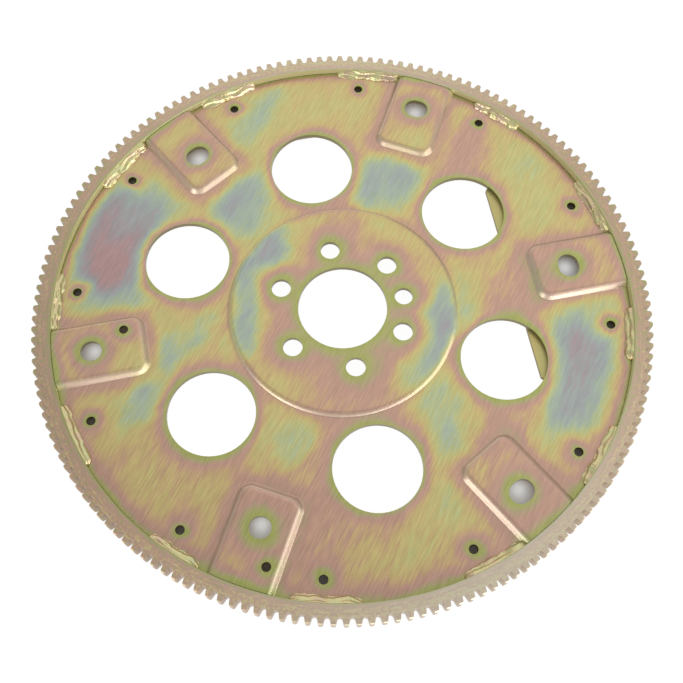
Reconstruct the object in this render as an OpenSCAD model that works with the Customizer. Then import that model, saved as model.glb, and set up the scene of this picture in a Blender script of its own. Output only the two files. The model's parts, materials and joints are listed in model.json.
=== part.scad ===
// Flexplate: a stamped disc inside a toothed starter ring, with fillet welds and a balance weight.
// Millimetres. Z is the crank axis, +Z faces the torque converter, z = 0 is the hub's crank face.
// +X runs through the dowel hole and the middle of the balance weight.

/* [Disc] */
// Sheet thickness
plate_t = 3.0; // [2.4:0.1:4]
// Rise of the hub above the web, towards the converter
hub_rise = 1.8; // [1.3:0.1:2.4]
// Radius of the hub's step, at its foot
hub_r = 67.6; // [60:0.2:69]
// Slope of the hub's step, degrees
hub_slope = 45; // [35:1:55]
// Radius of the pilot hole
pilot_r = 26.0; // [20:0.5:29]
// Inside radius of every bend in the pressed sheet
bend_r = 1.2; // [0.6:0.1:1.8]
// Gap between the disc's rounded edge and the ring
edge_gap = 0.35; // [0.15:0.05:0.8]
// Depth of that gap below the web's face
edge_depth = 0.8; // [0.3:0.1:1.4]

/* [Crank holes] */
// Radius of the crank bolt circle
crank_circle_r = 38.1; // [36.5:0.1:44]
// Radius of a crank bolt hole
crank_hole_r = 5.7; // [4.5:0.1:6.5]
// Angle from the dowel to the first pair of bolts
first_pair = 35; // [30:0.5:42]
// Angle from the dowel to the second pair
second_pair = 90; // [75:0.5:100]
// Angle from the dowel to the third pair
third_pair = 150; // [135:0.5:158]
// Distance of the dowel hole from the axis
dowel_x = 36.5; // [35.5:0.1:44]
// Radius of the dowel hole
dowel_hole_r = 5.3; // [3:0.1:6]

/* [Lightening holes] */
// Radius of the circle the large holes lie on
light_circle_r = 97.7; // [96:0.1:102]
// Radius of a large hole
light_hole_r = 25.0; // [20:0.5:26]

/* [Converter pads] */
// Rise of a pad above the web
pad_rise = 3.5; // [2:0.1:3.9]
// Half width of a pad, at its foot
pad_half = 19.5; // [17:0.1:21]
// Distance of a pad's inner foot from the axis
pad_inner = 113.6; // [108:0.2:118]
// Slope of a pad's walls, degrees
pad_slope = 50; // [40:1:65]
// Corner radius of a pad's top face
pad_corner = 3.2; // [1:0.1:4.5]
// Radius of the smaller converter bolt circle
near_circle_r = 136.5; // [134:0.1:140]
// Radius of the larger converter bolt circle
far_circle_r = 146.05; // [143:0.05:150]
// Radius of a converter bolt hole, and of a slot's ends
bolt_hole_r = 6.1; // [5:0.1:7]
// Distance each end of a slot is moved round the circle
slot_reach = 1.25; // [0.5:0.05:3]

/* [Small holes] */
// Radius of a small hole
small_hole_r = 2.6; // [1.5:0.1:3.2]
// Distance of the small holes' circle from the disc's edge
small_margin = 12.4; // [10:0.1:13]

/* [Ring gear] */
// Number of teeth
teeth = 168; // [162:1:176]
// Tooth module, twelve teeth to an inch of pitch diameter
tooth_module = 2.1167; // [2.08:0.0001:2.2]
// Height of a tooth above the pitch circle
addendum = 1.7; // [1.4:0.05:2.1]
// Depth of a tooth below the pitch circle
dedendum = 2.7; // [2.2:0.05:2.9]
// Pressure angle, degrees
pressure_angle = 14.5; // [14.5:0.5:20]
// Thinning of each tooth at the pitch circle
backlash = 0.27; // [0.05:0.01:0.5]
// Solid rim between the tooth roots and the ring's bore
ring_rim = 6.5; // [5:0.1:9]
// Face width of the ring
ring_width = 10.3; // [9.6:0.1:13]
// Height the ring stands above the web
ring_proud = 4.2; // [4:0.1:5]
// Bevel of the ring's bore edges
bore_bevel = 0.4; // [0.2:0.05:0.5]
// Bevel of the tooth tips at both faces
tip_bevel = 0.6; // [0.2:0.05:1]

/* [Ring welds] */
// Leg of a bead on the disc
bead_leg = 4.5; // [3:0.1:6]
// Height of a bead on the ring's bore
bead_height = 3.6; // [2.4:0.1:3.7]
// Bulge of a bead beyond a straight face
bead_bulge = 0.7; // [0.2:0.05:1.2]
// Slope of a bead's two ends from upright, degrees
bead_end_slope = 50; // [20:1:60]

/* [Balance weight] */
// Distance of the weight's straight edge from the axis
weight_chord = 103.2; // [103:0.1:110]
// Half length of the straight edge
weight_half = 65.2; // [58:0.2:68]
// Share of the way from its bolt hole to the ring's bore at which the weight ends
weight_edge_share = 0.11; // [0.04:0.01:0.16]
// Thickness of the weight
weight_t = 2.5; // [1.8:0.1:3.2]
// Corner cut at the ends of the straight edge
weight_corner = 2.2; // [1:0.1:6]
// Radius of the hole that lets a converter bolt and its socket through
weight_bolt_r = 13.5; // [11:0.1:14.5]
// Leg of the beads that hold the weight
tack_leg = 2.2; // [1.4:0.1:2.4]
// Share of one end of the weight that each of its two beads takes
tack_share = 0.32; // [0.15:0.01:0.4]

/* [Hidden] */
$fn = 96;
ring_bead_count = 12;
tack_count = 4;
pad_count = 6;
pad_pitch = 360 / pad_count;
small_count = 12;
arc_steps = 6;
// Depth of an overlap or an overshoot, and the sliver cut off a step's foot where it meets the web
skin = 1;
foot_trim = 0.03;
function two_digits(i) = str(i < 10 ? "0" : "", i);
function bead_name(i) = str("ring_weld_", two_digits(i));
function tack_name(i) = str("weight_weld_", i);

// Heights and radii that follow from the sizes above
web_top = plate_t - hub_rise;
web_bottom = -hub_rise;
pitch_r = teeth * tooth_module / 2;
tip_r = pitch_r + addendum;
root_r = pitch_r - dedendum;
disc_r = root_r - ring_rim;
ring_top = web_top + ring_proud;
ring_bottom = ring_top - ring_width;
small_circle_r = disc_r - small_margin;
base_r = pitch_r * cos(pressure_angle);
// Outside radius of a bend, the two radii of a step together, and the slopes that leave room for both bends
bend_outside_r = bend_r + plate_t;
bend_sum = bend_r + bend_outside_r;
slope_limit = 0.97;
function slope_of(h, a) = min(a, slope_limit * acos(1 - h / bend_sum));
hub_angle = slope_of(hub_rise, hub_slope);
pad_angle = slope_of(pad_rise, pad_slope);
// Points on a tooth's flank, and the small roundings at its tip and root
flank_steps = 3;
tip_round = 0.35;
root_round = 0.7;
// Outer edge of the weight, the two limits of its straight ends, and the bulge of its beads
weight_hole_edge = near_circle_r + weight_bolt_r;
weight_outer_r = weight_hole_edge + weight_edge_share * (disc_r - weight_hole_edge);
weight_end_from = weight_chord + weight_corner;
weight_end_to = sqrt(pow(weight_outer_r, 2) - pow(weight_half, 2));
tack_bulge = 0.2 * tack_leg;

// Which pads carry the smaller circle, and which holes are round in place of slots
near_pads = [0, 2, 4];
far_pads = [1, 3, 5];
round_pads = [3, 4];
// Two odd holes drilled through pads: distance from the axis and angle
odd_holes = [[126.8, 175.6], [155.2, 243.8]];

// Hand-laid beads: gap to the pad's foot and length, both in degrees, pad by pad
after_gap = [0.35, 0.25, 0.25, 2.75, 2.15, 3.15];
after_length = [12.5, 12.9, 12.7, 13.4, 13.4, 13.5];
before_gap = [4.15, 4.65, 1.95, 0.15, 1.15, 0.15];
before_length = [11.5, 11.3, 13.0, 12.0, 11.0, 12.0];
pad_edge_angle = asin(pad_half / (disc_r - bead_leg));

// Pressed step from x0 out: a bend over the top, a straight slope and a bend at the foot.
// The sheet's upper face has its large radius over the top, its lower face has it at the foot.
function step_run(h, a) = bend_sum * sin(a) + (h - bend_sum * (1 - cos(a))) / tan(a);
function step_curve(h, a, x0, over_r, foot_r) = concat(
    [for (i = [0 : arc_steps]) let (t = a * i / arc_steps)
        [x0 + over_r * sin(t), h - over_r * (1 - cos(t))]],
    [for (i = [arc_steps : -1 : 0]) let (t = a * i / arc_steps)
        [x0 + step_run(h, a) - foot_r * sin(t), foot_r * (1 - cos(t))]]
);
function lifted(points, z) = [for (p = points) [p[0], p[1] + z]];
function reversed(points) = [for (i = [len(points) - 1 : -1 : 0]) points[i]];

// Section through one side of a pad, from the corner's centre out
module pad_profile(over_r, foot_r) {
    polygon(concat(
        [[0, -skin], [0, pad_rise]],
        step_curve(pad_rise, pad_angle, pad_corner, over_r, foot_r),
        [[pad_corner + step_run(pad_rise, pad_angle), -skin]]
    ));
}

// Raised form of one pad on +X, open towards the rim, standing on z = 0
module pad_form(over_r, foot_r) {
    back = step_run(pad_rise, pad_angle) + pad_corner;
    cx = pad_inner + back;
    cy = pad_half - back;
    length = disc_r + skin - cx;
    translate([cx, -cy, -skin])
        cube([length, 2 * cy, pad_rise + skin]);
    translate([cx, -cy, 0])
        rotate([90, 0, 180])
            linear_extrude(2 * cy)
                pad_profile(over_r, foot_r);
    for (side = [0, 1])
        mirror([0, side, 0])
            translate([cx, cy, 0]) {
                rotate([90, 0, 90])
                    linear_extrude(length)
                        pad_profile(over_r, foot_r);
                rotate([0, 0, 90])
                    rotate_extrude(angle = 90)
                        pad_profile(over_r, foot_r);
            }
}

module pad_pocket() {
    translate([0, 0, web_bottom - foot_trim])
        pad_form(bend_r, bend_outside_r);
}

module pad_shell() {
    difference() {
        intersection() {
            translate([0, 0, web_top - foot_trim])
                pad_form(bend_outside_r, bend_r);
            translate([0, 0, web_bottom])
                cylinder(r = disc_r - edge_gap, h = plate_t + 2 * pad_rise);
        }
        pad_pocket();
    }
}

module disc_blank() {
    start = hub_r - step_run(hub_rise, hub_angle);
    upper = step_curve(hub_rise, hub_angle, start, bend_outside_r, bend_r);
    lower = step_curve(hub_rise, hub_angle, start, bend_r, bend_outside_r);
    rotate_extrude()
        polygon(concat(
            [[pilot_r, plate_t]],
            lifted(upper, web_top),
            [
                [disc_r - edge_gap, web_top],
                [disc_r - edge_gap, web_top - edge_depth],
                [disc_r, web_top - edge_depth],
                [disc_r, web_bottom]
            ],
            reversed(lifted(lower, web_bottom)),
            [[pilot_r, 0]]
        ));
}

module through_hole(r) {
    translate([0, 0, ring_bottom - skin])
        cylinder(r = r, h = ring_width + 2 * skin);
}

module converter_hole(pad, circle_r) {
    is_round = len(search(pad, round_pads)) > 0;
    rotate([0, 0, pad * pad_pitch])
        translate([circle_r, 0, 0])
            if (is_round) {
                through_hole(bolt_hole_r);
            } else {
                for (end = [-1, 1])
                    translate([0, end * slot_reach, 0])
                        through_hole(bolt_hole_r);
                translate([-bolt_hole_r, -slot_reach, ring_bottom - skin])
                    cube([2 * bolt_hole_r, 2 * slot_reach, ring_width + 2 * skin]);
            }
}

module disc() {
    color([0.78, 0.70, 0.42])
        difference() {
            union() {
                difference() {
                    disc_blank();
                    for (k = [0 : pad_count - 1])
                        rotate([0, 0, k * pad_pitch])
                            pad_pocket();
                }
                for (k = [0 : pad_count - 1])
                    rotate([0, 0, k * pad_pitch])
                        pad_shell();
            }
            for (k = [0 : pad_count - 1])
                rotate([0, 0, (k + 0.5) * pad_pitch])
                    translate([light_circle_r, 0, 0])
                        through_hole(light_hole_r);
            for (a = [first_pair, second_pair, third_pair])
                for (side = [-1, 1])
                    rotate([0, 0, side * a])
                        translate([crank_circle_r, 0, 0])
                            through_hole(crank_hole_r);
            translate([dowel_x, 0, 0])
                through_hole(dowel_hole_r);
            for (k = near_pads)
                converter_hole(k, near_circle_r);
            for (k = far_pads)
                converter_hole(k, far_circle_r);
            for (k = [0 : small_count - 1])
                rotate([0, 0, (k + 0.5) * 360 / small_count])
                    translate([small_circle_r, 0, 0])
                        through_hole(small_hole_r);
            for (h = odd_holes)
                rotate([0, 0, h[1]])
                    translate([h[0], 0, 0])
                        through_hole(small_hole_r);
        }
}

// Involute tooth: half angle at radius r, in degrees
function involute(a) = tan(a) * 180 / PI - a;
function pitch_half() = (PI * tooth_module / 2 - backlash) / (2 * pitch_r) * 180 / PI;
function tooth_half(r) = pitch_half() + involute(pressure_angle) - involute(acos(base_r / r));
function polar(r, a) = [r * cos(a), r * sin(a)];
function flank_r(i) = root_r + root_round + (tip_r - tip_round - root_r - root_round) * i / flank_steps;
function tooth_points(c) = concat(
    [polar(root_r, c - tooth_half(root_r) - root_round / root_r * 180 / PI)],
    [for (i = [0 : flank_steps]) polar(flank_r(i), c - tooth_half(flank_r(i)))],
    [polar(tip_r, c - tooth_half(tip_r) + tip_round / tip_r * 180 / PI)],
    [polar(tip_r, c + tooth_half(tip_r) - tip_round / tip_r * 180 / PI)],
    [for (i = [flank_steps : -1 : 0]) polar(flank_r(i), c + tooth_half(flank_r(i)))],
    [polar(root_r, c + tooth_half(root_r) + root_round / root_r * 180 / PI)]
);

// Turned blank with bevelled bore and tip edges, toothed by the gear outline
module ring_gear() {
    color([0.76, 0.68, 0.56])
        intersection() {
            translate([0, 0, ring_bottom - skin])
                linear_extrude(ring_width + 2 * skin)
                    polygon([for (k = [0 : teeth - 1]) each tooth_points(k * 360 / teeth)]);
            rotate_extrude()
                polygon([
                    [disc_r, ring_bottom + bore_bevel],
                    [disc_r + bore_bevel, ring_bottom],
                    [tip_r - tip_bevel, ring_bottom],
                    [tip_r + skin, ring_bottom + tip_bevel + skin],
                    [tip_r + skin, ring_top - tip_bevel - skin],
                    [tip_r - tip_bevel, ring_top],
                    [disc_r + bore_bevel, ring_top],
                    [disc_r, ring_top - bore_bevel]
                ]);
        }
}

// Convex fillet in the corner at the origin, with legs along -x and +y
function bead_curve(leg, height, bulge) = [
    for (i = [0 : 2 * arc_steps]) let (t = i / (2 * arc_steps), s = 4 * bulge * t * (1 - t))
        [-leg * (1 - t) - s * height / norm([leg, height]), height * t + s * leg / norm([leg, height])]
];
module bead_profile(leg, height, bulge) {
    polygon(concat([[0, 0]], bead_curve(leg, height, bulge)));
}

// Fillet bead swept round the axis from angle a, its two ends cut to a slope
module ring_bead(a, sweep) {
    size = 4 * bead_leg;
    difference() {
        rotate([0, 0, a])
            translate([0, 0, web_top])
                rotate_extrude(angle = sweep)
                    translate([disc_r, 0])
                        bead_profile(bead_leg, bead_height, bead_bulge);
        rotate([0, 0, a])
            translate([disc_r, 0, web_top])
                rotate([-bead_end_slope, 0, 0])
                    translate([-size, -size, -size / 2])
                        cube([2 * size, size, 2 * size]);
        rotate([0, 0, a + sweep])
            translate([disc_r, 0, web_top])
                rotate([bead_end_slope, 0, 0])
                    translate([-size, 0, -size / 2])
                        cube([2 * size, size, 2 * size]);
    }
}

// Odd beads follow a pad, even beads come before it, counted round the ring
module ring_weld(i) {
    pad = floor((i - 1) / 2);
    middle = pad * pad_pitch;
    color([0.80, 0.76, 0.48])
        if (i % 2 == 1)
            ring_bead(middle + pad_edge_angle + after_gap[pad], after_length[pad]);
        else
            ring_bead(middle - pad_edge_angle - before_gap[pad] - before_length[pad], before_length[pad]);
}

// Segment plate against the web's crank side, its straight edge across two large holes
module balance_weight() {
    color([0.74, 0.68, 0.42])
        translate([0, 0, web_bottom - weight_t])
            difference() {
                intersection() {
                    cylinder(r = weight_outer_r, h = weight_t);
                    translate([0, 0, -skin])
                        linear_extrude(weight_t + 2 * skin)
                            polygon([
                                [weight_chord, -weight_half + weight_corner],
                                [weight_end_from, -weight_half],
                                [tip_r, -weight_half],
                                [tip_r, weight_half],
                                [weight_end_from, weight_half],
                                [weight_chord, weight_half - weight_corner]
                            ]);
                }
                translate([near_circle_r, 0, -skin])
                    cylinder(r = weight_bolt_r, h = weight_t + 2 * skin);
            }
}

// Beads on the weight, two along each of its ends, spread evenly
module weight_weld(i) {
    end_length = weight_end_to - weight_end_from;
    bead = tack_share * end_length;
    gap = (end_length - 2 * bead) / 3;
    start = weight_end_from + (i <= 2 ? gap : 2 * gap + bead);
    color([0.80, 0.76, 0.48])
        mirror([0, i % 2, 0])
            translate([start, weight_half, web_bottom])
                rotate([90, 0, 90])
                    linear_extrude(bead)
                        rotate(180)
                            bead_profile(tack_leg, tack_leg, tack_bulge);
}

disc();
ring_gear();
balance_weight();
for (i = [1 : ring_bead_count])
    ring_weld(i);
for (i = [1 : tack_count])
    weight_weld(i);
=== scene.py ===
import json
import math

import bpy
import numpy as np
from mathutils import Matrix, Vector


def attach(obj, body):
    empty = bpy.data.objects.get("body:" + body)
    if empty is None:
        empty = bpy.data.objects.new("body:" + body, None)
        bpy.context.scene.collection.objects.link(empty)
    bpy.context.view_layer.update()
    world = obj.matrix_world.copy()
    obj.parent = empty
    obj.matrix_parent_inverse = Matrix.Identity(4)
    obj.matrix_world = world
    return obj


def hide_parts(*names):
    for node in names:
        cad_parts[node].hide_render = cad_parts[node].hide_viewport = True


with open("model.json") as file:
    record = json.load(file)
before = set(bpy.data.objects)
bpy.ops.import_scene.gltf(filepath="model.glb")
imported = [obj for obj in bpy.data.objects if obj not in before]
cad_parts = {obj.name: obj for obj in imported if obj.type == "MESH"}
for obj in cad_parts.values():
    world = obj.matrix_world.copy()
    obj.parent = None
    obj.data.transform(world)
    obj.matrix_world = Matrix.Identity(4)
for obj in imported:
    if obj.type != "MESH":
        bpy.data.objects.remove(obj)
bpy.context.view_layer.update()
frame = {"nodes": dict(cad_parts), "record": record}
nodes = frame["nodes"]
print("frame loaded:", len(nodes), "nodes")

mm = 0.001
plate = {  # the plate's own sizes in millimetres and degrees, as built
    "webTop": 1.2,
    "discRadius": 168.6,
    "lightRadius": 25.0,
    "lightCircle": 97.7,
    "pilotRadius": 26.0,
    "crankCircle": 38.1,
    "crankRadius": 5.7,
    "crankAngles": (35, 90, 150),
    "dowel": (36.5, 0.0),
    "dowelRadius": 5.3,
    "nearCircle": 136.5,
    "farCircle": 146.05,
    "slotRadius": 6.7,
    "smallCircle": 156.2,
    "smallRadius": 2.6,
    "smallStep": 30,
    "oddHoles": ((126.8, 175.6), (155.2, 243.8)),
    "padCount": 6,
    "padStep": 60,
    "padInner": 113.6,
    "padHalf": 19.5,
    "hubRadius": 67.6,
}


# camera

shot = {
    "place": (-0.04955, -0.23214, 0.51625),
    "aim": (-0.00478, -0.02048, 0.0012),
    "rollDegrees": 0.69,
    "lens": 51.12,
    "sensorWidth": 36.0,
    "clipStart": 0.01,
}


def aimed(place, aim, rollDegrees=0.0):
    # looks from place to aim with +Z up, then turns about its own view axis
    forward = (Vector(aim) - Vector(place)).normalized()
    side = forward.cross(Vector((0, 0, 1))).normalized()
    up = side.cross(forward)
    turn = math.radians(rollDegrees)
    right = side * math.cos(turn) + up * math.sin(turn)
    up = right.cross(forward)
    rows = [(right[i], up[i], -forward[i], place[i]) for i in range(3)]
    return Matrix(rows + [(0, 0, 0, 1)])


camera = bpy.data.objects.new("camera", bpy.data.cameras.new("camera"))
camera.data.lens = shot["lens"]
camera.data.sensor_width = shot["sensorWidth"]
camera.data.clip_start = shot["clipStart"]
camera.matrix_world = aimed(shot["place"], shot["aim"], shot["rollDegrees"])
bpy.context.collection.objects.link(camera)
bpy.context.scene.camera = camera
bpy.context.scene.view_settings.view_transform = "Standard"
print("camera ready")


# shader helpers

def put(tree, kind, inputs=None, **settings):
    # one node, its plain settings, and each input either a value or a link
    node = tree.nodes.new(kind)
    for name, value in settings.items():
        setattr(node, name, value)
    for key, value in (inputs or {}).items():
        if isinstance(value, bpy.types.NodeSocket):
            tree.links.new(value, node.inputs[key])
        else:
            node.inputs[key].default_value = value
    return node


def calc(tree, operation, *terms):
    # one Math node
    return put(tree, "ShaderNodeMath", dict(enumerate(terms)), operation=operation).outputs[0]


def squared(tree, value):
    return calc(tree, "MULTIPLY", value, value)


def fading(tree, value):
    # e to the power of minus the value
    return calc(tree, "EXPONENT", calc(tree, "MULTIPLY", value, -1.0))


def centred(tree, value):
    # a noise value moved so that it swings about zero
    return calc(tree, "SUBTRACT", value, 0.5)


def vector(tree, operation, *terms):
    # one Vector Math node that gives a vector
    return put(tree, "ShaderNodeVectorMath", dict(enumerate(terms)), operation=operation).outputs[0]


def measure(tree, operation, *terms):
    # one Vector Math node that gives a single value
    return put(tree, "ShaderNodeVectorMath", dict(enumerate(terms)), operation=operation).outputs["Value"]


def noise(tree, place, scale, detail=3.0, roughness=0.5):
    return put(tree, "ShaderNodeTexNoise", {
        "Vector": place, "Scale": scale, "Detail": detail, "Roughness": roughness}).outputs


def grey(tree, value):
    return put(tree, "ShaderNodeCombineColor", {0: value, 1: value, 2: value}).outputs[0]


def blended(tree, share, first, second, kind="MIX"):
    # one colour mix: a share of the second over the first
    inputs = {0: share, 6: first, 7: second}
    return put(tree, "ShaderNodeMix", inputs, data_type="RGBA", blend_type=kind).outputs[2]


def relief(tree, height, finish):
    strength, distance = finish["relief"]
    inputs = {"Height": height, "Strength": strength, "Distance": distance}
    return put(tree, "ShaderNodeBump", inputs).outputs[0]


def newGroup(name, inputs, outputs):
    tree = bpy.data.node_groups.new(name, "ShaderNodeTree")
    for label, kind in inputs:
        tree.interface.new_socket(label, in_out="INPUT", socket_type=kind)
    for label, kind in outputs:
        tree.interface.new_socket(label, in_out="OUTPUT", socket_type=kind)
    return tree, tree.nodes.new("NodeGroupInput"), tree.nodes.new("NodeGroupOutput")


def useGroup(tree, group, inputs):
    return put(tree, "ShaderNodeGroup", inputs, node_tree=group).outputs


def newMaterial(name):
    material = bpy.data.materials.new(name)
    material.use_nodes = True
    tree = material.node_tree
    tree.nodes.clear()
    place = put(tree, "ShaderNodeTexCoord").outputs["Object"]
    return material, tree, place


def finishMaterial(tree, inputs):
    shader = put(tree, "ShaderNodeBsdfPrincipled", inputs)
    put(tree, "ShaderNodeOutputMaterial", {"Surface": shader.outputs[0]})


# shares of a surface that is pressed out of level or cut square to the sheet, from its normal's height

slopes = {"level": 0.985, "pressed": 0.80, "square": 0.30, "cut": 0.10}


def makeSlopeGroup():
    tree, given, result = newGroup(
        "surfaceSlope", [("Normal", "NodeSocketVector")],
        [("Pressed", "NodeSocketFloat"), ("Cut", "NodeSocketFloat")])
    split = put(tree, "ShaderNodeSeparateXYZ", {0: given.outputs["Normal"]})
    upright = calc(tree, "ABSOLUTE", split.outputs[2])
    for label, start, full in (("Pressed", "level", "pressed"), ("Cut", "square", "cut")):
        span = {0: upright, 1: slopes[full], 2: slopes[start], 3: 1.0, 4: 0.0}
        share = put(tree, "ShaderNodeMapRange", span, interpolation_type="SMOOTHSTEP")
        tree.links.new(share.outputs[0], result.inputs[label])
    return tree


def surfaceSlope(tree):
    return useGroup(tree, slopeGroup, {"Normal": put(tree, "ShaderNodeNewGeometry").outputs["Normal"]})


# distances in millimetres to the nearest hole or rim and to the nearest pressed step, from the hole pattern

edgeScale = {  # how fast the film settles away from each kind of edge
    "light": 1.0, "slot": 0.75, "small": 1.2, "odd": 1.0,
    "dowel": 0.55, "crank": 0.55, "pilot": 0.5, "rim": 1.0,
    "blend": 4.0,       # millimetres over which two edges run into each other
    "undrained": 1.0,   # share of the distance that counts at y = 0
    "drain": 0.0020,    # and its change with each millimetre of y
    "padCorner": 8.0,   # millimetres over which two walls of a pad run into each other
    "hubBeyond": 2.5,   # millimetres by which the hub's step counts as further away than a pad's
}


def makeEdgeGroup():
    tree, given, result = newGroup(
        "edgeDistance", [("Place", "NodeSocketVector")],
        [("Distance", "NodeSocketFloat"), ("Step", "NodeSocketFloat")])

    def length(first, second):
        return calc(tree, "SQRT", calc(tree, "ADD", squared(tree, first), squared(tree, second)))

    def folded(degrees):
        # the pattern repeats with a mirror at every such angle
        turn = calc(tree, "PINGPONG", angle, math.radians(degrees))
        along = calc(tree, "MULTIPLY", radius, calc(tree, "COSINE", turn))
        across = calc(tree, "MULTIPLY", radius, calc(tree, "SINE", turn))
        return along, across

    def away(point, centre, hole):
        dx = calc(tree, "SUBTRACT", point[0], centre[0])
        dy = calc(tree, "SUBTRACT", point[1], centre[1])
        return calc(tree, "SUBTRACT", length(dx, dy), hole)

    def polar(r, degrees):
        return r * math.cos(math.radians(degrees)), r * math.sin(math.radians(degrees))

    split = put(tree, "ShaderNodeSeparateXYZ", {0: given.outputs["Place"]})
    x = calc(tree, "MULTIPLY", split.outputs[0], 1 / mm)
    y = calc(tree, "MULTIPLY", split.outputs[1], 1 / mm)
    radius = length(x, y)
    angle = calc(tree, "ARCTAN2", y, x)
    padStep, smallHalf = plate["padStep"], plate["smallStep"] / 2
    byPad, byPair, bySmall = folded(padStep / 2), folded(padStep), folded(smallHalf)
    mirrored = (x, calc(tree, "ABSOLUTE", y))
    crankHoles = [polar(plate["crankCircle"], a) for a in plate["crankAngles"]]
    edges = [
        ("light", away(byPad, polar(plate["lightCircle"], padStep / 2), plate["lightRadius"])),
        ("slot", away(byPair, polar(plate["nearCircle"], 0), plate["slotRadius"])),
        ("slot", away(byPair, polar(plate["farCircle"], padStep), plate["slotRadius"])),
        ("small", away(bySmall, polar(plate["smallCircle"], smallHalf), plate["smallRadius"])),
        ("dowel", away(mirrored, plate["dowel"], plate["dowelRadius"])),
        ("pilot", calc(tree, "SUBTRACT", radius, plate["pilotRadius"])),
        ("rim", calc(tree, "SUBTRACT", plate["discRadius"], radius)),
    ]
    edges += [("crank", away(mirrored, hole, plate["crankRadius"])) for hole in crankHoles]
    edges += [("odd", away((x, y), polar(*hole), plate["smallRadius"])) for hole in plate["oddHoles"]]
    distances = [calc(tree, "MULTIPLY", gap, edgeScale[kind]) for kind, gap in edges]
    nearest = distances[0]
    for other in distances[1:]:
        nearest = calc(tree, "SMOOTH_MIN", nearest, other, edgeScale["blend"])
    # the film drained towards -Y, so it stays thin further from an edge there
    share = calc(tree, "MULTIPLY_ADD", y, edgeScale["drain"], edgeScale["undrained"])
    drained = calc(tree, "MULTIPLY", nearest, share)
    tree.links.new(calc(tree, "MAXIMUM", drained, 0.0), result.inputs["Distance"])
    inward = calc(tree, "SUBTRACT", plate["padInner"], byPad[0])
    sideways = calc(tree, "SUBTRACT", byPad[1], plate["padHalf"])
    toPad = calc(tree, "ABSOLUTE", calc(tree, "SMOOTH_MAX", inward, sideways, edgeScale["padCorner"]))
    toHub = calc(tree, "ABSOLUTE", calc(tree, "SUBTRACT", radius, plate["hubRadius"]))
    toHub = calc(tree, "ADD", toHub, edgeScale["hubBeyond"])
    tree.links.new(calc(tree, "MINIMUM", toPad, toHub), result.inputs["Step"])
    return tree


# fine lines of the brushed sheet, all in one direction, and slow clouds drawn out along them

brush = {
    "degrees": 53.0, "roughness": 0.55,
    # scale of the noise, its stretch along the lines, and its detail
    "lines": (1000.0, 0.095, 3.0),
    "bands": (420.0, 0.209, 3.0),
    "clouds": (30.0, 0.45, 2.0),
}


def makeBrushGroup():
    tree, given, result = newGroup(
        "brushLines", [("Place", "NodeSocketVector")],
        [("Lines", "NodeSocketFloat"), ("Bands", "NodeSocketFloat"), ("Clouds", "NodeSocketFloat")])
    turned = put(tree, "ShaderNodeMapping", {
        "Vector": given.outputs["Place"], "Rotation": (0, 0, math.radians(-brush["degrees"]))}).outputs[0]
    for label in ("Lines", "Bands", "Clouds"):
        scale, stretch, detail = brush[label.lower()]
        drawn = put(tree, "ShaderNodeMapping", {"Vector": turned, "Scale": (stretch, 1.0, 1.0)}).outputs[0]
        tree.links.new(noise(tree, drawn, scale, detail, brush["roughness"])[0], result.inputs[label])
    return tree


# colours of the thin chromate film, in the order in which it thickens

film = {
    "stops": (
        (0.00, (0.370, 0.390, 0.115)),
        (0.07, (0.400, 0.395, 0.150)),
        (0.14, (0.445, 0.350, 0.205)),
        (0.22, (0.505, 0.305, 0.235)),
        (0.30, (0.530, 0.320, 0.235)),
        (0.38, (0.560, 0.390, 0.200)),
        (0.46, (0.570, 0.460, 0.190)),
        (0.55, (0.525, 0.500, 0.205)),
        (0.64, (0.445, 0.495, 0.270)),
        (0.73, (0.375, 0.450, 0.340)),
        (0.82, (0.340, 0.375, 0.365)),
        (0.91, (0.370, 0.300, 0.310)),
        (1.00, (0.430, 0.270, 0.260)),
    ),
}


def makeFilmGroup():
    tree, given, result = newGroup(
        "chromateFilm", [("Order", "NodeSocketFloat")], [("Tint", "NodeSocketColor")])
    ramp = put(tree, "ShaderNodeValToRGB", {0: given.outputs["Order"]})
    stops = ramp.color_ramp.elements
    while len(stops) < len(film["stops"]):
        stops.new(0.5)
    for stop, (place, colour) in zip(stops, film["stops"]):
        stop.position = place
        stop.color = (*colour, 1.0)
    tree.links.new(ramp.outputs[0], result.inputs["Tint"])
    return tree


slopeGroup = makeSlopeGroup()
edgeGroup = makeEdgeGroup()
brushGroup = makeBrushGroup()
filmGroup = makeFilmGroup()
print("shader groups ready")


# disc

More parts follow.
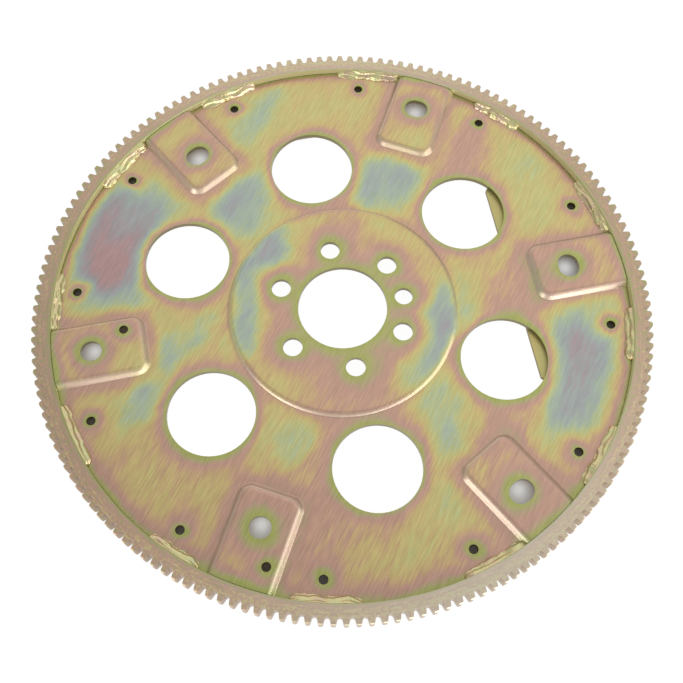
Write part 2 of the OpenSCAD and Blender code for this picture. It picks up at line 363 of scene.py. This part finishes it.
discFinish = {
    "reach": 5.0,        # millimetres over which the film settles away from an edge
    "settling": 1.25,    # power of the settling curve
    "stepReach": 5.5,    # millimetres over which a pressed step thins the film
    "stepLoss": 0.40,    # and the share that it loses there
    "settled": 0.48,     # order of the film in the open
    "streak": 0.34,
    "fineStreak": 0.20,
    "cloud": 0.42,
    "streakByY": (-1.4, 0.75),    # strength of the streaks: change with each metre of y, and value at y = 0
    "driftScale": 48.0,           # scale of the noise by which the film's borders wander
    "edgeDrift": 9.0,             # and how far they wander, in millimetres
    "patchDrift": 24.0,
    "lineShade": (0.56, 0.72),    # swing and base of the brushed lines' shade
    "roughness": 0.36, "roughSwing": 0.16,
    "relief": (0.06, 0.0002),     # strength and distance
    "metal": 0.75, "coat": 0.3,
    "bendHighlightColour": (0.66, 0.63, 0.50, 1), "bendHighlightShare": 0.32,   # painted highlight: paler, less tinted metal on the pressed bends
    "cutShadeColour": (0.40, 0.33, 0.25, 1),                       # and painted shade, darker, on the cut walls of holes and rims, multiplied in
    # patches of thicker or thinner film:
    # x, y, half length along the brushing, half width, added order
    "patches": (
        (-126, 66, 48, 38, 0.44),    # left web
        (-132, 54, 24, 12, 0.10),
        (-44, 84, 32, 18, 0.32),     # upper left web
        (-28, 142, 30, 12, 0.15),
        (-42, 38, 34, 14, 0.40),     # hub, left
        (-56, 0, 22, 10, 0.28),
        (-112, -22, 36, 11, 0.24),   # web beside the pad at 180 degrees
        (-82, 4, 14, 7, 0.18),
        (42, 80, 24, 20, 0.30),      # upper web, by the hub
        (12, 54, 22, 12, -0.12),     # hub, top
        (50, -24, 38, 15, 0.44),     # hub, right
        (42, -70, 30, 14, 0.22),     # lower right web
        (34, -104, 32, 11, 0.18),
        (122, -64, 46, 28, 0.36),    # right web
        (-42, -76, 16, 9, 0.20),     # lower web, by the hub
        (-60, -68, 16, 8, 0.16),
        (128, 70, 34, 18, 0.08),     # upper right web
        (96, 88, 24, 16, -0.20),
        (104, -12, 30, 18, -0.22),   # beside the weight's pad
        (126, 10, 22, 14, -0.12),
        (78, -84, 26, 14, -0.20),    # beside the pad at 300 degrees
        (0, -45, 34, 24, -0.12),     # hub, low
        (-62, -112, 46, 28, -0.06),  # lowest web
        (-114, -86, 42, 30, -0.06),
        (-36, -128, 30, 16, -0.12),
        (84, -118, 32, 17, -0.04),
    ),
}


def filmLevel(tree, place):
    # order of the film in the open: each patch adds its order times e to the minus fourth power of
    # the distance from its middle, measured in its own half length and half width
    turn = math.radians(brush["degrees"])
    turned = put(tree, "ShaderNodeMapping", {"Vector": place, "Rotation": (0, 0, -turn)}).outputs[0]
    level = discFinish["settled"]
    for x, y, length, width, added in discFinish["patches"]:
        along = (x * math.cos(turn) + y * math.sin(turn)) * mm
        across = (y * math.cos(turn) - x * math.sin(turn)) * mm
        offset = vector(tree, "SUBTRACT", turned, (along, across, 0))
        ratio = vector(tree, "MULTIPLY", offset, (1 / (length * mm), 1 / (width * mm), 0))
        spread = fading(tree, squared(tree, measure(tree, "DOT_PRODUCT", ratio, ratio)))
        level = calc(tree, "MULTIPLY_ADD", spread, added, level)
    return level


def makeDiscMaterial():
    material, tree, place = newMaterial("discZinc")
    drift = noise(tree, place, discFinish["driftScale"])["Color"]
    drift = vector(tree, "SUBTRACT", drift, (0.5, 0.5, 0.5))

    def wandered(distance):
        # the place moved sideways by slow noise, so that the film's borders wander
        return vector(tree, "MULTIPLY_ADD", drift, (distance * mm,) * 3, place)

    edges = useGroup(tree, edgeGroup, {"Place": wandered(discFinish["edgeDrift"])})
    lines = useGroup(tree, brushGroup, {"Place": place})
    away = calc(tree, "DIVIDE", edges["Distance"], discFinish["reach"])
    settled = calc(tree, "SUBTRACT", 1.0, fading(tree, calc(tree, "POWER", away, discFinish["settling"])))
    nearStep = fading(tree, squared(tree, calc(tree, "DIVIDE", edges["Step"], discFinish["stepReach"])))
    kept = calc(tree, "MULTIPLY_ADD", nearStep, -discFinish["stepLoss"], 1.0)
    settled = calc(tree, "MULTIPLY", settled, kept)
    level = filmLevel(tree, wandered(discFinish["patchDrift"]))
    cloud = calc(tree, "MULTIPLY", centred(tree, lines["Clouds"]), discFinish["cloud"])
    streak = calc(tree, "MULTIPLY", centred(tree, lines["Bands"]), discFinish["streak"])
    fine = calc(tree, "MULTIPLY", centred(tree, lines["Lines"]), discFinish["fineStreak"])
    y = put(tree, "ShaderNodeSeparateXYZ", {0: place}).outputs[1]
    strength = calc(tree, "MULTIPLY_ADD", y, *discFinish["streakByY"])
    streak = calc(tree, "MULTIPLY", calc(tree, "ADD", streak, fine), strength)
    order = calc(tree, "MULTIPLY", calc(tree, "ADD", calc(tree, "ADD", level, cloud), streak), settled)
    tint = useGroup(tree, filmGroup, {"Order": order})["Tint"]
    shade = calc(tree, "MULTIPLY_ADD", lines["Lines"], *discFinish["lineShade"])
    colour = blended(tree, 1.0, tint, grey(tree, shade), "MULTIPLY")
    slope = surfaceSlope(tree)
    # painted highlight: the pressed bends take a paler, less tinted colour, so that they read brighter
    bendHighlight = calc(tree, "MULTIPLY", slope["Pressed"], discFinish["bendHighlightShare"])
    colour = blended(tree, bendHighlight, colour, discFinish["bendHighlightColour"])
    # painted shade: the cut walls, upright to the sheet, are darkened as if in shadow
    colour = blended(tree, slope["Cut"], colour, discFinish["cutShadeColour"], "MULTIPLY")
    swing = discFinish["roughSwing"]
    rough = calc(tree, "MULTIPLY_ADD", lines["Lines"], swing, discFinish["roughness"] - swing / 2)
    finishMaterial(tree, {
        "Base Color": colour, "Roughness": rough, "Normal": relief(tree, lines["Lines"], discFinish),
        "Metallic": discFinish["metal"], "Coat Weight": discFinish["coat"]})
    return material


# ring gear

ringFinish = {
    "settled": 0.25,                             # order of the film on the ring's face
    "mottle": 1.75, "mottleNoise": (540.0, 5.0, 0.7),     # amount, then scale, detail and roughness
    "turning": 0.60, "turningNoise": (14, 1100.0),        # amount, then scale by angle and by radius
    "edgeReach": 0.0020,                         # metres over which the film settles away from the bore
    "toothOrder": 0.12,                          # loss of order on the teeth
    "teeth": (0.1745, 0.1785),                   # radii in metres at which that loss starts and is full
    "roughness": 0.42, "roughSwing": 0.16,
    "relief": (0.08, 0.0002),
    "metal": 0.75, "coat": 0.3,
    "turningShade": (0.30, 0.86),                # swing and base of the turning marks' shade
    "paleColour": (0.62, 0.595, 0.49, 1), "pale": 0.08,
    "paleMottle": (0.8, 0.6),                    # swing and base of the pale share
    "flankShadeColour": (0.78, 0.67, 0.55, 1),        # painted shade: tooth flanks are darker, multiplied in
    # painted highlight: the bore's wall is painted pale gold and made less metallic, lighter than it would
    # be lit
    "boreHighlightColour": (0.64, 0.57, 0.30, 1), "boreRadius": 0.1705, "boreMetal": 0.45,
    # where round the ring it has painted light (paler), a film further along in order, or painted shade
    # (darker): degrees and amount
    "paintedLightAt": ((285, 0.50), (75, 0.26)),
    "furtherAt": ((75, 0.20), (285, 0.16), (225, 0.08)),
    "paintedShadeAt": ((180, 0.13), (15, 0.08)),
    "narrowing": 4.0,                            # power of the cosine about each of these angles
}


def makeRingMaterial():
    material, tree, place = newMaterial("ringZinc")
    flat = vector(tree, "MULTIPLY", place, (1, 1, 0))
    radius = measure(tree, "LENGTH", flat)
    outward = vector(tree, "NORMALIZE", flat)

    def around(places):
        # a power of the cosine about each stated angle, nothing on the far side
        total = 0.0
        for degrees, amount in places:
            turn = math.radians(degrees)
            facing = measure(tree, "DOT_PRODUCT", outward, (math.cos(turn), math.sin(turn), 0))
            facing = calc(tree, "POWER", calc(tree, "MAXIMUM", facing, 0.0), ringFinish["narrowing"])
            total = calc(tree, "MULTIPLY_ADD", facing, amount, total)
        return total

    # turning marks: noise that changes fast with the radius and slowly with the angle
    byAngle, byRadius = ringFinish["turningNoise"]
    slow = vector(tree, "MULTIPLY", outward, (byAngle, byAngle, 0))
    fast = put(tree, "ShaderNodeCombineXYZ", {2: calc(tree, "MULTIPLY", radius, byRadius)}).outputs[0]
    turning = noise(tree, vector(tree, "ADD", slow, fast), 1.0)[0]
    mottle = noise(tree, place, *ringFinish["mottleNoise"])[0]
    start, end = ringFinish["teeth"]
    span = {0: radius, 1: start, 2: end, 3: 0.0, 4: 1.0}
    teeth = put(tree, "ShaderNodeMapRange", span, interpolation_type="SMOOTHSTEP").outputs[0]
    order = calc(tree, "ADD", ringFinish["settled"], around(ringFinish["furtherAt"]))
    order = calc(tree, "MULTIPLY_ADD", centred(tree, mottle), ringFinish["mottle"], order)
    order = calc(tree, "MULTIPLY_ADD", centred(tree, turning), ringFinish["turning"], order)
    order = calc(tree, "SUBTRACT", order, calc(tree, "MULTIPLY", teeth, ringFinish["toothOrder"]))
    inside = calc(tree, "SUBTRACT", plate["discRadius"] * mm, radius)
    inside = calc(tree, "EXPONENT", calc(tree, "DIVIDE", inside, ringFinish["edgeReach"]))
    order = calc(tree, "MULTIPLY", order, calc(tree, "SUBTRACT", 1.0, inside))
    tint = useGroup(tree, filmGroup, {"Order": order})["Tint"]
    # pale share: painted light at the stated angles, plus an even pale share, both broken up by the mottle
    share = calc(tree, "ADD", around(ringFinish["paintedLightAt"]), ringFinish["pale"])
    share = calc(tree, "MULTIPLY", share, calc(tree, "MULTIPLY_ADD", mottle, *ringFinish["paleMottle"]))
    colour = blended(tree, share, tint, ringFinish["paleColour"])
    shade = calc(tree, "MULTIPLY_ADD", turning, *ringFinish["turningShade"])
    # painted shade: the turning marks' shade is made darker at the stated angles
    shade = calc(tree, "SUBTRACT", shade, around(ringFinish["paintedShadeAt"]))
    colour = blended(tree, 1.0, colour, grey(tree, shade), "MULTIPLY")
    cut = surfaceSlope(tree)["Cut"]
    bore = calc(tree, "MULTIPLY", cut, calc(tree, "LESS_THAN", radius, ringFinish["boreRadius"]))
    # painted shade on the upright faces outside the bore, the tooth flanks
    flankShade = calc(tree, "SUBTRACT", cut, bore)
    colour = blended(tree, flankShade, colour, ringFinish["flankShadeColour"], "MULTIPLY")
    # painted highlight on the bore's wall
    colour = blended(tree, bore, colour, ringFinish["boreHighlightColour"])
    metal = ringFinish["metal"]
    metal = calc(tree, "MULTIPLY_ADD", bore, ringFinish["boreMetal"] - metal, metal)
    swing = ringFinish["roughSwing"]
    rough = calc(tree, "MULTIPLY_ADD", mottle, swing, ringFinish["roughness"] - swing / 2)
    finishMaterial(tree, {
        "Base Color": colour, "Roughness": rough, "Normal": relief(tree, turning, ringFinish),
        "Metallic": metal, "Coat Weight": ringFinish["coat"]})
    return material


# balance weight

weightFinish = {
    "order": (0.3, 0.36),    # swing with the clouds, and base
    # the cut colour is painted shade on the weight's cut walls
    "shade": (0.92, 0.93, 0.90, 1), "cutShadeColour": (0.42, 0.33, 0.24, 1),
    "relief": (0.06, 0.0002),
    "roughness": 0.4, "metal": 0.75,
}


def makeWeightMaterial():
    material, tree, place = newMaterial("weightZinc")
    lines = useGroup(tree, brushGroup, {"Place": place})
    order = calc(tree, "MULTIPLY_ADD", lines["Clouds"], *weightFinish["order"])
    tint = useGroup(tree, filmGroup, {"Order": order})["Tint"]
    tint = blended(tree, 1.0, tint, weightFinish["shade"], "MULTIPLY")
    # painted shade: the cut walls, upright to the sheet, are darkened as if in shadow
    tint = blended(tree, surfaceSlope(tree)["Cut"], tint, weightFinish["cutShadeColour"], "MULTIPLY")
    finishMaterial(tree, {
        "Base Color": tint, "Roughness": weightFinish["roughness"],
        "Normal": relief(tree, lines["Lines"], weightFinish), "Metallic": weightFinish["metal"]})
    return material


# weld metal

weldFinish = {
    "patchScale": 160.0, "grainScale": 1100.0,
    "order": (0.85, 0.02),    # swing with the patches, and base
    "brightColour": (0.70, 0.71, 0.48, 1), "brightShare": 0.3,
    "rough": (0.3, 0.14),     # swing with the patches, and base
    "relief": (0.035, 0.0004),
    "metal": 0.85,
}


def makeWeldMaterial():
    material, tree, place = newMaterial("weldZinc")
    patch = noise(tree, place, weldFinish["patchScale"])[0]
    grain = noise(tree, place, weldFinish["grainScale"])[0]
    order = calc(tree, "MULTIPLY_ADD", patch, *weldFinish["order"])
    tint = useGroup(tree, filmGroup, {"Order": order})["Tint"]
    bright = blended(tree, weldFinish["brightShare"], tint, weldFinish["brightColour"])
    rough = calc(tree, "MULTIPLY_ADD", patch, *weldFinish["rough"])
    finishMaterial(tree, {
        "Base Color": bright, "Roughness": rough, "Normal": relief(tree, grain, weldFinish),
        "Metallic": weldFinish["metal"]})
    return material


finishes = {
    "disc_zinc": makeDiscMaterial(),
    "ring_zinc": makeRingMaterial(),
    "weight_zinc": makeWeightMaterial(),
    "weld_zinc": makeWeldMaterial(),
}
slotOf = {part["node"]: part["material_slot"] for part in frame["record"]["subparts"]}
for name, thing in nodes.items():
    thing.data.materials.clear()
    thing.data.materials.append(finishes[slotOf[name]])
print("materials ready:", ", ".join(finishes))


# weld beads: rippled metal in the corner between the disc and the ring

bead = {
    "leg": 4.5, "height": 3.7, "bulge": 0.35,
    "ripple": 0.07, "ripplePitch": 2.4, "lump": 0.38, "ridge": 0.30,
    "waveCount": 4,
    # step in count from one wave to the next, first count, and first divisor
    "waves": (1.0, 1.3, 1.5), "toes": (2.1, 2.3, 1.5), "drift": (0.7, 0.6, 2.0),
    "endPower": 9,
    "crescentBow": 0.55, "crescentWander": 0.25, "crescentPower": 0.8, "crescentRest": 0.6,
    "rippleFade": 0.6,
    "toeShare": 0.10, "riseShare": 0.06, "riseLimit": 1.08,
    "ridgeCount": 1.6, "ridgeDrift": 0.5,
    "nearPad": 0.6, "padReach": 0.9,
    "alongSteps": 170, "faceSteps": 26, "backSteps": 4,
    "firstSeed": 40,
}


def beadSurface(first, last, seed):
    # u runs along the arc and v across the face. The face is a straight line from the disc to the ring,
    # pushed out by a parabola in v, by crescents |sin| of (u plus a parabola in v), by slow waves in u,
    # and by ridges that wander along it. The section shrinks to the corner at both ends by the root of
    # 1 minus |2u - 1| to the end power.
    chance = np.random.default_rng(seed)
    length = (last - first) * plate["discRadius"]
    u = np.linspace(0.0, 1.0, bead["alongSteps"])[1:-1, None]
    v = np.linspace(0.0, 1.0, bead["faceSteps"])[None, :]
    phase = chance.uniform(0, 2 * np.pi, (bead["waveCount"], 2))

    def waveSum(kind, *columns):
        # sines along u, each faster and weaker than the one before
        step, start, divisor = bead[kind]
        total = 0.0
        for k in range(bead["waveCount"]):
            turn = 2 * np.pi * (step * k + start) * u
            for column in columns:
                turn = turn + phase[k, column]
            total = total + np.sin(turn) / (k + divisor)
        return total

    waves, toes, drift = waveSum("waves", 0), waveSum("toes", 1), waveSum("drift", 0, 1)
    ends = np.sqrt(1 - np.abs(2 * u - 1) ** bead["endPower"])
    count = length / bead["ripplePitch"]
    bow = bead["crescentBow"] * (2 * v - 1) ** 2
    crescent = np.abs(np.sin(np.pi * (count * u + bow + bead["crescentWander"] * waves)))
    crescent = crescent ** bead["crescentPower"] - bead["crescentRest"]
    legs = bead["leg"] * (1 + bead["toeShare"] * toes) * ends
    heights = bead["height"] * (1 + bead["riseShare"] * waves) * ends
    heights = np.minimum(heights, bead["height"] * bead["riseLimit"])
    out = 4 * v * (1 - v) * (bead["bulge"] + bead["lump"] * waves) * ends
    arch = np.sin(np.pi * v)
    out = out + bead["ripple"] * (1 + waves) * crescent * arch ** bead["rippleFade"] * ends
    ridges = np.sin(2 * np.pi * (bead["ridgeCount"] * v + bead["ridgeDrift"] * drift) + phase[0, 0])
    out = out + bead["ridge"] * ridges * arch * ends
    slope = math.hypot(bead["leg"], bead["height"])
    run = np.minimum(-legs * (1 - v) - out * bead["height"] / slope, 0.0)
    rise = np.maximum(heights * v + out * bead["leg"] / slope, 0.0)
    # the back goes down the ring's bore to the corner and out along the disc
    back = np.linspace(1.0, 0.0, bead["backSteps"] + 1)[None, 1:-1]
    down = np.concatenate([0 * heights * back, 0 * heights, -legs * (1 - back)], axis=1)
    up = np.concatenate([heights * back, 0 * heights, 0 * legs * back], axis=1)
    run = np.concatenate([run, down], axis=1)
    rise = np.concatenate([rise, up], axis=1)
    angle = first + (last - first) * u
    radius = plate["discRadius"] + run
    return np.stack([radius * np.cos(angle), radius * np.sin(angle), plate["webTop"] + rise], axis=-1) * mm


def reached(angle, side):
    # an end that stops just short of a pad's foot is drawn out, in degrees, so that it runs against the pad
    step = plate["padStep"]
    fromPad = abs((math.degrees(angle) + step / 2) % step - step / 2)
    foot = math.degrees(math.asin(plate["padHalf"] / (plate["discRadius"] - bead["leg"])))
    return angle + side * math.radians(bead["padReach"] if fromPad - foot < bead["nearPad"] else 0.0)


def makeBead(name, seed):
    corners = np.array([v.co for v in nodes[name].data.vertices])
    middle = math.atan2(corners[:, 1].mean(), corners[:, 0].mean())
    spread = np.angle(np.exp(1j * (np.arctan2(corners[:, 1], corners[:, 0]) - middle)))
    first, last = reached(middle + spread.min(), -1), reached(middle + spread.max(), 1)
    grid = beadSurface(first, last, seed)
    rows, columns = grid.shape[:2]
    points = grid.reshape(-1, 3)
    reach = plate["discRadius"]
    tips = [[reach * math.cos(a), reach * math.sin(a), plate["webTop"]] for a in (first, last)]
    index = np.arange(rows * columns).reshape(rows, columns)
    following = np.roll(index, -1, axis=1)
    quads = np.stack([index[:-1], index[1:], following[1:], following[:-1]], axis=-1).reshape(-1, 4)
    start, end = len(points), len(points) + 1
    faces = quads.tolist()
    faces += [(start, int(i), int(j)) for i, j in zip(index[0], following[0])]
    faces += [(end, int(j), int(i)) for i, j in zip(index[-1], following[-1])]
    mesh = bpy.data.meshes.new(name + "_rippled")
    mesh.from_pydata(np.concatenate([points, np.array(tips) * mm]).tolist(), [], faces)
    mesh.polygons.foreach_set("use_smooth", [True] * len(mesh.polygons))
    mesh.materials.append(finishes["weld_zinc"])
    mesh.update()
    thing = bpy.data.objects.new(name + "_rippled", mesh)
    bpy.context.collection.objects.link(thing)
    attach(thing, "root")
    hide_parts(name)


ringBeads = sorted(name for name in nodes if name.startswith("ring_weld"))
for number, name in enumerate(ringBeads):
    makeBead(name, bead["firstSeed"] + number)
print("beads ready:", len(ringBeads))


# floor and light

stageSet = {
    "floor": -4.9,                               # millimetres, at the ring's lower face
    "size": 6.0,                                 # metres
    "shadeFrom": 0.1242, "shadeTo": 0.170,       # radii in metres between which the plate covers the floor
    "darkWithin": 6.0,                           # millimetres round each small hole where the floor takes painted shade
    # painted light on the floor under each bolt slot: its shift and reach in millimetres, its share, and
    # the share round it
    "spotShift": (0.8, 3.6), "spotReach": 5.0, "spotShare": 0.42, "spotRest": 0.03,
    "openShare": 0.9,                            # white share of the open floor
    "mirroredShare": 0.4,                        # and of the covered floor where it is mirrored
    "grey": 0.9, "greyLoss": 0.6,                # grey of the floor, and its loss under the painted shade
    "glow": 1.06,
}


def floorHoleShade(tree, flat, folded):
    # painted shade on the floor: one patch under each small hole, nothing elsewhere
    under = [(folded, plate["smallCircle"], plate["smallStep"] / 2)]
    under += [(flat, *hole) for hole in plate["oddHoles"]]
    dark = 0.0
    for where, r, degrees in under:
        turn = math.radians(degrees)
        gap = measure(tree, "DISTANCE", where, (r * mm * math.cos(turn), r * mm * math.sin(turn), 0))
        dark = calc(tree, "MAXIMUM", calc(tree, "LESS_THAN", gap, stageSet["darkWithin"] * mm), dark)
    return dark


def floorSlotLight(tree, flat):
    # a soft painted pool of light on the floor under each bolt slot, near and far circles in turn
    spot = 0.0
    for number in range(plate["padCount"]):
        r = plate["farCircle"] if number % 2 else plate["nearCircle"]
        turn = math.radians(plate["padStep"] * number)
        shiftX, shiftY = stageSet["spotShift"]
        centre = ((r * math.cos(turn) + shiftX) * mm, (r * math.sin(turn) + shiftY) * mm, 0)
        gap = calc(tree, "DIVIDE", measure(tree, "DISTANCE", flat, centre), stageSet["spotReach"] * mm)
        spot = calc(tree, "MAXIMUM", fading(tree, squared(tree, gap)), spot)
    return spot


def makeFloorMaterial():
    material, tree, place = newMaterial("floorWhite")
    flat = vector(tree, "MULTIPLY", place, (1, 1, 0))
    radius = measure(tree, "LENGTH", flat)
    inside = calc(tree, "GREATER_THAN", radius, stageSet["shadeFrom"])
    shaded = calc(tree, "MULTIPLY", inside, calc(tree, "LESS_THAN", radius, stageSet["shadeTo"]))
    split = put(tree, "ShaderNodeSeparateXYZ", {0: place})
    angle = calc(tree, "ARCTAN2", split.outputs[1], split.outputs[0])
    angle = calc(tree, "PINGPONG", angle, math.radians(plate["smallStep"] / 2))
    folded = put(tree, "ShaderNodeCombineXYZ", {
        0: calc(tree, "MULTIPLY", radius, calc(tree, "COSINE", angle)),
        1: calc(tree, "MULTIPLY", radius, calc(tree, "SINE", angle))}).outputs[0]
    dark = floorHoleShade(tree, flat, folded)
    openShare = stageSet["openShare"]
    rest = stageSet["spotRest"] - openShare
    # painted light: the glow under the bolt slots, in the covered ring of floor
    spot = calc(tree, "MULTIPLY_ADD", floorSlotLight(tree, flat), stageSet["spotShare"], rest)
    light = put(tree, "ShaderNodeLightPath").outputs
    seen = calc(tree, "MAXIMUM", light["Is Camera Ray"], light["Is Transmission Ray"])
    white = calc(tree, "MULTIPLY", seen, calc(tree, "MULTIPLY_ADD", shaded, spot, openShare))
    mirrored = calc(tree, "MULTIPLY_ADD", shaded, stageSet["mirroredShare"] - openShare, openShare)
    white = calc(tree, "MAXIMUM", white, calc(tree, "MULTIPLY", light["Is Glossy Ray"], mirrored))
    # painted shade under the small holes: no white there, and a darker grey
    white = calc(tree, "MULTIPLY", white, calc(tree, "SUBTRACT", 1.0, dark))
    level = calc(tree, "MULTIPLY_ADD", dark, -stageSet["greyLoss"], stageSet["grey"])
    matt = put(tree, "ShaderNodeBsdfDiffuse", {"Color": grey(tree, level)})
    glow = put(tree, "ShaderNodeEmission", {"Color": (1, 1, 1, 1), "Strength": stageSet["glow"]})
    mixed = put(tree, "ShaderNodeMixShader", {0: white, 1: matt.outputs[0], 2: glow.outputs[0]})
    # from below the floor is clear, so that the plate's crank side shows
    below = put(tree, "ShaderNodeNewGeometry").outputs["Backfacing"]
    clear = put(tree, "ShaderNodeBsdfTransparent")
    mixed = put(tree, "ShaderNodeMixShader", {0: below, 1: mixed.outputs[0], 2: clear.outputs[0]})
    put(tree, "ShaderNodeOutputMaterial", {"Surface": mixed.outputs[0]})
    return material


def makeFloor():
    half = stageSet["size"] / 2
    level = stageSet["floor"] * mm
    corners = [(-half, -half, level), (half, -half, level), (half, half, level), (-half, half, level)]
    mesh = bpy.data.meshes.new("floor")
    mesh.from_pydata(corners, [], [(0, 1, 2, 3)])
    floor = bpy.data.objects.new("floor", mesh)
    bpy.context.collection.objects.link(floor)
    mesh.materials.append(makeFloorMaterial())


lamps = {  # place, width, height, radiance
    "backTent": ((0.50, 0.80, 1.4), 2.0, 1.5, 0.48),
    "backCard": ((-0.05, 1.30, 0.34), 1.6, 0.55, 0.6),
    "frontCard": ((-0.05, -1.10, 0.13), 0.60, 0.24, 3.2),
    "rightFrontCard": ((0.52, -0.95, 0.13), 0.95, 0.24, 6.6),
    "rightHighCard": ((0.88, -0.51, 0.62), 1.2, 0.4, 1.5),
    "rightCard": ((1.08, -0.36, 0.26), 0.6, 0.45, 1.8),
    "leftFrontCard": ((-0.75, -0.75, 0.40), 0.5, 0.4, 2.0),
    "leftCard": ((-0.83, -0.46, 0.20), 0.45, 0.36, 3.0),
}
lampAim = (0, 0, 0)
world = {"colour": (1.0, 1.0, 1.0), "strength": 0.62}


def makeLight():
    for name, (place, width, height, radiance) in lamps.items():
        lamp = bpy.data.lights.new(name, "AREA")
        lamp.shape = "RECTANGLE"
        lamp.size = width
        lamp.size_y = height
        lamp.energy = radiance * math.pi * width * height
        thing = bpy.data.objects.new(name, lamp)
        thing.matrix_world = aimed(place, lampAim)
        bpy.context.collection.objects.link(thing)
    sky = bpy.data.worlds.new("studio")
    sky.use_nodes = True
    background = sky.node_tree.nodes["Background"]
    background.inputs["Color"].default_value = (*world["colour"], 1)
    background.inputs["Strength"].default_value = world["strength"]
    bpy.context.scene.world = sky


makeFloor()
makeLight()
print("stage ready")
